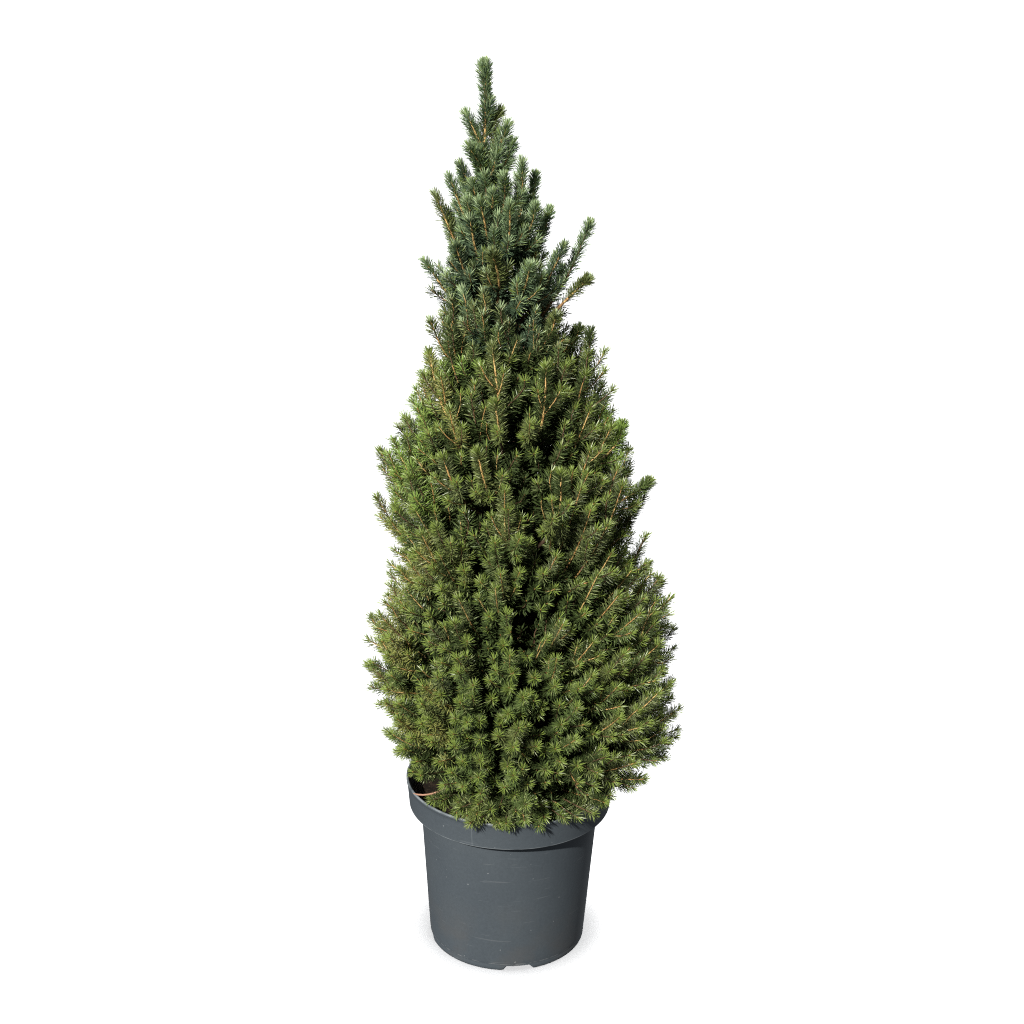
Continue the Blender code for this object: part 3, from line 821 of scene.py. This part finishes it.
def spray_color(z, x, count):
    """A base colour for each spray: bluish at the top, mid green lower, olive and grey-green mixed in."""
    draw = rng.random(count)
    top = rng.random(count) < np.clip((z - 0.93) / 0.12, 0, 1)
    lower = np.select([draw < 0.42, draw < 0.66, draw < 0.88], [MID, OLIVE, GREY], DEEP)
    darker = np.interp(z, (0.32, 0.34, 0.86, 0.90, 0.98, 1.02), (0.30, 0.0, 0.0, 0.52, 0.52, 0.10))
    lower = np.where(rng.random(count) < darker, DEEP, lower)
    upper = np.select([draw < 0.80, draw < 0.88], [TOP, OLIVE], TOP_DARK)
    upper = np.where(rng.random(count) < darker, TOP_DARK, upper)
    color = np.where(top, upper, lower)
    # painted highlight: brighter, more saturated green where the shoulders stand out of the crown on either side
    c, h = crown(z)
    side = (x - c) / h
    fresh = (np.abs(z - 0.795) < 0.065) & (side > 0.86) | (np.abs(z - 0.83) < 0.080) & (side < np.interp(z, (0.83, 0.86), (-0.66, -0.40)))
    fresh &= rng.random(count) < 0.60
    color = np.where(fresh, VIVID, color)
    # yellower where the left side faces the light
    sunny = (z > 0.36) & (z < 0.90) & (rng.random(count) < np.interp(-side, (0.36, 0.80), (0.0, 0.58)))
    color = np.where(sunny & ~fresh, SUNNY, color)
    # painted shade: some sprays on the right, the side away from the key light, take the darkest greens
    shaded = (x > 0.12 + 0.1 * rng.random(count)) & (rng.random(count) < 0.30)
    return np.where(shaded, np.where(top, TOP_DARK, DEEP), color)


main_color = spray_color(main[:, -1, 2], main[:, -1, 0], len(main))
second_color = np.where(
    rng.random(len(second)) < 0.70,
    main_color[second_of],
    spray_color(second[:, -1, 2], second[:, -1, 0], len(second)),
)
third_color = second_color[third_of]
filled_color = spray_color(filled[:, -1, 2], filled[:, -1, 0], len(filled))


def wanted(lines, leafy_length, gain):
    """Needles that each line should carry, before the budget: dense on the outside, thin inside."""
    middle = lines[:, int(lines.shape[1] * 0.7)]
    weight = np.interp(outer(middle), (0.45, 0.85), (0.30, 1.0)) * np.interp(middle[:, 2], (0.90, 1.10), (1.0, 1.20))
    return leafy_length * weight * gain


def needles_along(lines, color, leafy_length, counts, fresh):
    """Needles all round each line, leaning forward more towards its tip. fresh is the bright tip's length."""
    from_tip = arc(lines)
    length = from_tip[:, 0]
    leafy_length = np.minimum(leafy_length, length)
    counts = np.maximum(counts.astype(int), 6)
    which = np.repeat(np.arange(len(lines)), counts)
    index = np.arange(len(which)) - np.repeat(np.cumsum(counts) - counts, counts)
    # denser at the tip, thinner on the older wood
    s = ((index + rng.random(len(which))) / counts[which]) ** 1.22 * leafy_length[which]
    share = 1 - s / length[which]
    p, d = at(lines, which, share)
    u, w = across(d)
    roll = index * GOLDEN + which * 1.7 + rng.normal(0, 0.25, len(which))
    out = u * np.cos(roll)[:, None] + w * np.sin(roll)[:, None]
    near_tip = np.exp(-s / 0.0065)
    high = np.interp(p[:, 2], (0.90, 1.05), (0.0, 1.0))
    lean = np.radians(
        60 - 10 * high + rng.normal(0, 8, len(which)) - 28 * near_tip + 6 * near_tip * rng.normal(0, 1, len(which))
    )
    aim = d * np.cos(lean)[:, None] + out * np.sin(lean)[:, None]
    aim = normalized(aim + 0.08 * UP)
    tall = np.interp(p[:, 2], (1.120, 1.150, 1.205, 1.225), (0.0, 0.25, 0.25, 0.0))
    long = NEEDLE_LONG * (1 + 0.06 * high + tall) * (1 + rng.normal(0, 0.09, len(which))) * (1 - 0.12 * near_tip)
    thick = np.interp(outer(p), (0.50, 0.78), (2.8, 1.0))
    side = normalized(np.cross(aim, out) + 0.35 * rng.normal(0, 1, aim.shape))
    side = normalized(side - aim * (side * aim).sum(-1, keepdims=True))
    keel = np.cross(side, aim)
    wide = NEEDLE_WIDE * (0.9 + 0.2 * rng.random(len(which))) * thick
    foot = p + out * 0.0006
    tip = foot + aim * long[:, None]
    drop = keel * (wide * 0.30)[:, None]
    left = foot + aim * (long * 0.26)[:, None] - drop + side * (wide / 2)[:, None]
    right = foot + aim * (long * 0.70)[:, None] - drop - side * (wide / 2)[:, None]
    points = np.stack([foot, left, tip, right], 1)
    look = color[which].copy()
    live = look != BROWN
    top = np.isin(look, (TOP, TOP_DARK))
    draw = rng.random(len(which))
    # painted glints: at random, a share of needles takes a pale colour that stands in for the sun's glints on the waxy
    # needles
    look = np.where(live & (draw < np.where(top, 0.17, 0.13)), np.where(top, TOP_PALE, PALE), look)
    look = np.where(live & (draw > np.where(top, 0.74, 0.86)), np.where(top, TOP_DARK, DEEP), look)
    bright = (s < fresh * (0.5 + 0.9 * rng.random(len(which)))) & live & (look != VIVID) & (p[:, 2] < 0.90)
    bright &= draw > np.interp(p[:, 2], (0.30, 0.36), (0.45, 0.10))
    look = np.where(bright, LIME, look)
    look = np.where((s < 0.004) & live & (p[:, 2] > 0.93) & (draw > 0.60), TOP_PALE, look)
    look = np.where(top & (s < 0.030) & (draw > 0.17) & (draw < 0.30), LIME, look)
    away = p - trunk_at(p[:, 2])
    away[:, 2] = 0
    facing = (out * normalized(away)).sum(-1)
    bare = (p[:, 2] > 0.68) & (s > 0.022) & (outer(p) > 0.7) & (facing > 0.25) & (length[which] > 0.1)
    bare &= draw < np.interp(p[:, 2], (0.68, 0.90), (0.35, 0.55))
    inner = outer(p) < 0.66 + 0.10 * rng.random(len(which))
    look = np.where(inner & live, np.where(p[:, 2] > 0.9, TOP_DARK, DEEP), look)
    return points[~bare], look[~bare]


leader = trunk_at(np.linspace(1.130, TRUNK_TOP_Z + 0.019, 25))[None]
main_back = np.where(np.isin(kind, (1, 3)), leafy + 0.012, np.minimum(leafy * 0.95, 0.150))
batches = [
    (main, main_color, main_back, np.select([kind == 1, kind == 2, kind == 3], [1.55, 1.50, 1.90], 1.25), 0.009),
    (second, second_color, second_long * 0.97, 1.0, 0.010),
    (third, third_color, third_long * 0.97, 0.95, 0.008),
    (filled, filled_color, np.minimum(filled_long * 0.97, 0.060), 0.95, 0.006),
    (leader, np.array([TOP]), np.array([0.092]), 2.6, 0.006),
]
total = sum(wanted(lines, back, gain).sum() for lines, _, back, gain, _ in batches)
per_metre = NEEDLE_BUDGET / total
print("leafy metres", [round(float(b[2].sum()), 1) for b in batches], "needles a metre outside", round(per_metre))
groups = [
    needles_along(lines, color, back, wanted(lines, back, gain) * per_metre, fresh)
    for lines, color, back, gain, fresh in batches
]
points = np.concatenate([g[0] for g in groups])
look = np.concatenate([g[1] for g in groups])
ends = points[:, 2]
reach = np.hypot(ends[:, 0], ends[:, 1])
free = (reach > RIM_R + 0.0015) | (ends[:, 2] > RIM_Z + 0.0005)
free |= (reach < RIM_R - 0.012) & (ends[:, 2] > SOIL_Z + 0.002)
free &= ~in_gap(ends, (HOLES[0], HOLES[6]))
points, look = points[free], look[free]
middle = points.mean(1)
print("needles", len(points))


def nodes_named(*starts):
    return [n for n in nodes if n.startswith(starts)]


ZONES = (
    ("hem", 0.0, 0.340, nodes_named("foliage_drape")),
    ("low", 0.340, 0.430, nodes_named("foliage_low")),
    ("belly", 0.430, 0.520, nodes_named("foliage_belly")),
    ("mid", 0.520, 0.625, nodes_named("foliage_mid")),
    ("high", 0.625, 0.760, nodes_named("foliage_high", "foliage_shoulder")),
    ("neck", 0.760, 0.920, nodes_named("foliage_neck", "foliage_right_plume")),
    ("top", 0.920, 2.0, nodes_named("foliage_top", "foliage_leader")),
)
for zone, low, high, stood_for in ZONES:
    chosen = (middle[:, 2] >= low) & (middle[:, 2] < high)
    pts = points[chosen]
    base = np.arange(len(pts))[:, None] * 4
    faces = np.concatenate([base + (0, 1, 2), base + (0, 2, 3)], 1).reshape(-1, 3)
    print("zone", zone, len(faces))
    obj = mesh_object("needles_" + zone, pts, faces, needle_looks, np.repeat(look[chosen], 2))
    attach(obj, "root")
    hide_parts(*stood_for)

# ------------------------------------------------------------------ twigs

twig_looks = [
    plain("twig_golden", (0.570, 0.380, 0.148), 0.6, 0.3),
    plain("twig_orange", (0.440, 0.255, 0.095), 0.65, 0.3),
    plain("twig_brown", (0.130, 0.075, 0.045), 0.8, 0.2),
]


def twig_part(lines, foot_r, tip_r, sides, colors):
    share = np.linspace(0, 1, lines.shape[1])
    radii = foot_r[:, None] + (tip_r - foot_r)[:, None] * share[None]
    pts, faces = tubes(lines, radii, sides)
    along = np.repeat(colors, lines.shape[1] - 1)
    along = np.where(rng.random(len(along)) < 0.30, np.minimum(along + 1, 2), along)
    return pts, faces, np.repeat(along, sides)


def young(lines):
    """Golden where a twig is young and outside, browner inside."""
    far = outer(lines[:, lines.shape[1] // 2])
    draw = rng.random(len(lines)) + np.interp(lines[:, -1, 2], (0.30, 0.45), (0.42, 0.0))
    return np.where(far < 0.60, 2, np.select([draw < 0.32, draw < 0.62], [0, 1], 2))


outer_part = main[:, 12:]
main_young = np.where((kind == 3) & (rng.random(len(main)) < 0.75), 0, young(outer_part))
parts = [
    twig_part(outer_part, np.where(kind == 3, 0.0018, 0.0014), np.where(kind == 3, 0.0009, 0.0006), 5, main_young),
    twig_part(leader[:, ::2], np.array([0.0030]), np.array([0.0008]), 6, np.array([0])),
    twig_part(second[:, ::2], 0.0007 + 0.006 * second_long, np.full(len(second), 0.0006), 4, young(second)),
    twig_part(filled[:, ::2], 0.0007 + 0.006 * filled_long, np.full(len(filled), 0.0006), 4, young(filled)),
    twig_part(third[:, ::2], np.full(len(third), 0.0008), np.full(len(third), 0.0006), 3, young(third)),
]


def buds(lines, size):
    """A small pointed bud at each shoot's tip."""
    tip = lines[:, -1]
    d = normalized(tip - lines[:, -2])
    u, w = across(d)
    turn = np.arange(4) * math.tau / 4
    around = u[:, None] * np.cos(turn)[:, None] + w[:, None] * np.sin(turn)[:, None]
    middle = tip[:, None] + (d * size * 0.6)[:, None] + around * size * 0.62
    foot = tip - d * size * 0.6
    pts = np.concatenate([foot[:, None], middle, (tip + d * size * 1.9)[:, None]], 1)
    base = np.arange(len(lines))[:, None, None] * 6
    sides = [((0, 1 + (k + 1) % 4, 1 + k), (5, 1 + k, 1 + (k + 1) % 4)) for k in range(4)]
    faces = base + np.array(sides).reshape(1, 8, 3)
    return pts.reshape(-1, 3), faces.reshape(-1, 3)


offset, all_points, all_faces, all_colors = 0, [], [], []
for pts, faces, colors in parts:
    all_points.append(pts)
    all_faces.append(faces + offset)
    all_colors.append(colors)
    offset += len(pts)
twigs = mesh_object(
    "twigs", np.concatenate(all_points), np.concatenate(all_faces), twig_looks, np.concatenate(all_colors), True
)
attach(twigs, "root")
print("twig faces", len(twigs.data.polygons))
stub = bezier(
    *(np.array([p]) for p in ((-0.076, -0.084, 0.286), (-0.096, -0.090, 0.276), (-0.115, -0.086, 0.264), (-0.1340, -0.0770, 0.2660))),
    9,
)
pts, faces = tubes(stub, np.append(np.linspace(0.0015, 0.0013, 8), 0.0004)[None], 8)
stub_twig = mesh_object("cut_twig", pts, faces, [plain("twig_tan", (0.300, 0.165, 0.110), 0.7, 0.2)], None, True)
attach(stub_twig, "root")
pts, faces = buds(np.concatenate([main[:, -3:], second[:, -3:], third[:, -3:], filled[:, -3:], leader[:, -3:]]), 0.0014)
tips_bud = mesh_object("buds", pts, faces, [plain("bud_orange", (0.330, 0.190, 0.060), 0.5, 0.4)])
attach(tips_bud, "root")

# ------------------------------------------------------------------ trunk and boughs, with the bark's relief


def bark_points(lines, radii, sides, depth_of_relief):
    pts, faces = tubes(lines, radii, sides)
    return pts, faces


heights = np.concatenate([np.linspace(SOIL_Z - 0.001, 0.33, 40), np.linspace(0.335, TRUNK_TOP_Z, 120)])
line = trunk_at(heights)[None]
sides = 36
flare = np.clip(1 - (heights - SOIL_Z) / 0.045, 0, 1) ** 2
thickness = trunk_r(heights) * np.interp(heights, (1.0, 1.15), (1.0, 0.78))
pts, faces = tubes(line, thickness[None], sides)
grid = pts.reshape(len(heights), sides, 3)
centre = line[0][:, None, :]
outward = grid - centre
angle = np.arctan2(outward[..., 1], outward[..., 0])
lobes = 0.75 + 0.25 * np.cos(4 * angle + 0.7)
relief = np.array(
    [[noise.fractal(Vector((p[0] * 160, p[1] * 160, p[2] * 45)), 0.9, 2.1, 4) for p in row] for row in grid]
)
scale = 1 + 0.38 * lobes * flare[:, None] + 0.055 * relief * np.clip(trunk_r(heights) / 0.008, 0, 1)[:, None]
grid = centre + outward * scale[..., None]
trunk_pts, trunk_faces = grid.reshape(-1, 3), faces
inner_lines = main[:, :14]
foot_r = np.clip(0.42 * trunk_r(inner_lines[:, 0, 2]), 0.0018, 0.0042)
share = np.linspace(0, 1, 14)
radii = foot_r[:, None] + (0.0017 - foot_r)[:, None] * share[None]
radii *= 1 + 0.10 * rng.normal(0, 1, radii.shape)
bough_pts, bough_faces = tubes(inner_lines, radii, 7)
bark = mesh_object(
    "trunk_and_boughs",
    np.concatenate([trunk_pts, bough_pts]),
    np.concatenate([trunk_faces, bough_faces + len(trunk_pts)]),
    [bark_material()],
    None,
    True,
)
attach(bark, "root")
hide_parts(*nodes_named("trunk", "bough"))

# ------------------------------------------------------------------ pot

TURN = 192
wall = lambda z: 0.1142 + (0.1288 - 0.1142) * (z - 0.010) / (0.2164 - 0.010)
profile = [(0.0, 0.0094), (0.060, 0.0094), (wall(0.0094) - 0.0036, 0.0094), (wall(0.013) - 0.0022, 0.0125)]
profile += [(wall(z) - 0.0021, z) for z in np.linspace(0.02, 0.214, 12)]
profile += [(wall(0.2164) - 0.0019, 0.2180), (0.1420, 0.2188), (0.1430, 0.2196)]
profile += [(0.1431 + (0.1462 - 0.1431) * t, 0.2200 + (0.2560 - 0.2200) * t) for t in np.linspace(0, 1, 6)[1:]]
lip = (RIM_R - 0.00165, RIM_Z - 0.00165)
profile += [
    (lip[0] - 0.00165 * math.cos(a) if a < math.pi else 0, lip[1] + 0.00165 * math.sin(a))
    for a in np.linspace(0.15, math.pi - 0.02, 9)
]
profile += [(RIM_R, 0.2552), (RIM_R - 0.0001, 0.2538), (RIM_R - 0.0009, 0.2528), (RIM_R - 0.0013, 0.2518)]
profile += [(0.1487 + (0.1456 - 0.1487) * t, 0.2518 + (0.2192 - 0.2518) * t) for t in np.linspace(0, 1, 8)[1:]]
profile += [
    (0.1441 + 0.0015 * math.cos(a), 0.2183 - 0.0017 * math.sin(a)) for a in np.linspace(0.15, math.pi / 2 + 0.5, 6)
]
profile += [(0.1320, 0.2168), (wall(0.2164) + 0.0008, 0.2164), (wall(0.2150), 0.2150)]
profile += [(wall(z), z) for z in np.linspace(0.205, 0.018, 14)]
profile += [(wall(0.0130), 0.0130), (wall(0.0120) - 0.0001, 0.0120), (0.1141, 0.0108), (0.1137, 0.0100)]
profile += [(0.1139, 0.0080), (0.1139, 0.0050), (0.1137, 0.0028), (0.1131, 0.0010), (0.1120, 0.0)]
profile += [(0.1040, 0.0), (0.1022, 0.0012), (0.1015, 0.0068), (0.0400, 0.0070), (0.0384, 0.0004), (0.0, 0.0004)]
profile = np.array(profile)
turns = np.arange(TURN) * math.tau / TURN
r = profile[:, 0][:, None] * np.ones(TURN)[None]
z = profile[:, 1][:, None] * np.ones(TURN)[None]
# four notches in the foot ring, with sloping ends
quarter = (turns - NOTCH_TURN + math.pi / 4) % (math.pi / 2) - math.pi / 4
chord = np.abs(np.sin(quarter)) * 0.1130
notch = 0.0072 * np.clip((0.0220 - chord) / 0.0045, 0, 1)
ring = (profile[:, 0] > 0.1000) & (profile[:, 1] < 0.0096) & (np.arange(len(profile)) > 30)
lifted = np.maximum(z, notch[None] + 0.25 * z)
z = np.where(ring[:, None], lifted, z)
# the rim is never quite round, and a mould seam runs down the collar
r = r * (1 + 0.0012 * np.cos(2 * turns + 0.6) * np.clip(z / 0.25, 0, 1))
seam_at = math.radians(-90 - 20.0)
seam = np.exp(-(((turns - seam_at + math.pi) % math.tau - math.pi) / 0.006) ** 2)
outside = (np.arange(len(profile)) > 38) & (profile[:, 1] > 0.2185)
r = r + 0.00022 * seam[None] * outside[:, None]
grid = np.stack([r * np.cos(turns)[None] + 0.0020 * z / RIM_Z, r * np.sin(turns)[None], z], -1)
ids = np.arange(grid.shape[0] * TURN).reshape(grid.shape[0], TURN)
a, b = ids[:-1], ids[1:]
faces = np.stack([a, np.roll(a, -1, 1), np.roll(b, -1, 1), b], -1).reshape(-1, 4)
pot = mesh_object("nursery_pot", grid, faces, [pot_material()], None, True)
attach(pot, "root")
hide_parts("pot")

# ------------------------------------------------------------------ soil

rings, around = 70, 150
radius = np.linspace(0.0, 0.1434, rings) ** 1.0
turns = np.arange(around) * math.tau / around
grid = np.stack(
    [
        radius[:, None] * np.cos(turns)[None],
        radius[:, None] * np.sin(turns)[None],
        np.full((rings, around), SOIL_Z),
    ],
    -1,
)
height = np.array(
    [
        [
            0.0020 * noise.fractal(Vector((p[0] * 55, p[1] * 55, 3.0)), 0.9, 2.0, 5)
            + 0.0014 * abs(noise.noise(Vector((p[0] * 210, p[1] * 210, 8.0))))
            for p in row
        ]
        for row in grid
    ]
)
grid[..., 2] += height + 0.0006
ids = np.arange(rings * around).reshape(rings, around)
a, b = ids[:-1], ids[1:]
faces = np.stack([a, b, np.roll(b, -1, 1), np.roll(a, -1, 1)], -1).reshape(-1, 4)
soil = mesh_object("soil_top", grid, faces, [soil_material()], None, True)
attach(soil, "root")
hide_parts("soil")

# ------------------------------------------------------------------ studio

plant = bpy.data.collections.new("plant")
bpy.context.scene.collection.children.link(plant)
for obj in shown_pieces():
    plant.objects.link(obj)
studio = bpy.data.collections.new("studio")
bpy.context.scene.collection.children.link(studio)
pot_only = bpy.data.collections.new("pot_only")
bpy.context.scene.collection.children.link(pot_only)
pot_only.objects.link(pot)

half = 40.0
floor = mesh_object(
    "floor", [(-half, -half, 0), (half, -half, 0), (half, half, 0), (-half, half, 0)], [(0, 1, 2, 3)], []
)
m = Nodes("floor_pale")
color = m.ramp(m.noise(2.0, 2.0), (0.3, (0.90, 0.90, 0.90)), (0.7, (0.92, 0.92, 0.92)))
m.link(color, m.shader.inputs["Base Color"])
m.shader.inputs["Roughness"].default_value = 0.9
m.shader.inputs["Specular IOR Level"].default_value = 0.0
floor.data.materials.append(m.material)
studio.objects.link(floor)
floor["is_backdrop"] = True
floor.visible_diffuse = False
floor.visible_glossy = False


def sun(name, strength, azimuth, elevation, angle, color, receivers, blockers):
    """Light from an azimuth (-90 is the front) and an elevation, for one collection and stopped by another."""
    data = bpy.data.lights.new(name, "SUN")
    data.energy = strength
    data.angle = math.radians(angle)
    data.color = color
    lamp = bpy.data.objects.new(name, data)
    towards = Vector(polar(math.radians(azimuth), math.radians(elevation)))
    lamp.rotation_mode = "QUATERNION"
    lamp.rotation_quaternion = towards.to_track_quat("Z", "Y")
    lamp.location = towards * 3
    bpy.context.scene.collection.objects.link(lamp)
    lamp.light_linking.receiver_collection = receivers
    lamp.light_linking.blocker_collection = blockers
    return lamp


sun("key", 7.4, -115, 35, 2.0, (1.0, 0.965, 0.90), plant, None)
sun("side_fill", 0.85, -172, 28, 70, (0.93, 0.97, 1.0), plant, None)
sun("back_fill", 4.2, 62, 38, 50, (1.0, 0.98, 0.94), plant, None)
sun("floor_glow", 2.8, -90, 88, 16, (1.0, 1.0, 1.0), studio, pot_only)
sun("floor_base", 2.2, -90, 90, 10, (1.0, 1.0, 1.0), studio, studio)

world = bpy.data.worlds.new("studio_world")
bpy.context.scene.world = world
world.use_nodes = True
sky = world.node_tree.nodes["Background"]
sky.inputs["Color"].default_value = (0.90, 0.95, 1.0, 1.0)
sky.inputs["Strength"].default_value = 0.19
backdrop = world.node_tree.nodes.new("ShaderNodeBackground")
backdrop.inputs["Color"].default_value = (1.0, 1.0, 1.0, 1.0)
seen = world.node_tree.nodes.new("ShaderNodeLightPath")
either = world.node_tree.nodes.new("ShaderNodeMixShader")
world.node_tree.links.new(seen.outputs["Is Camera Ray"], either.inputs["Fac"])
world.node_tree.links.new(sky.outputs[0], either.inputs[1])
world.node_tree.links.new(backdrop.outputs[0], either.inputs[2])
world.node_tree.links.new(either.outputs[0], world.node_tree.nodes["World Output"].inputs["Surface"])

camera_data = bpy.data.cameras.new("camera")
camera_data.lens = 1870.06 / 1024 * 36
camera_data.sensor_width = 36
camera_data.clip_start, camera_data.clip_end = 0.05, 200
camera = bpy.data.objects.new("camera", camera_data)
camera.matrix_world = (
    Matrix.Translation((0.0, -2.4163, 1.5455))
    @ Matrix.Rotation(math.radians(90) - 0.3505, 4, "X")
    @ Matrix.Rotation(0.0127, 4, "Z")
)
bpy.context.scene.collection.objects.link(camera)
bpy.context.scene.camera = camera
bpy.context.scene.view_settings.view_transform = "Standard"
bpy.context.scene.cycles.use_denoising = False
bpy.context.scene.cycles.filter_width = 1.15

low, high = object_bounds()
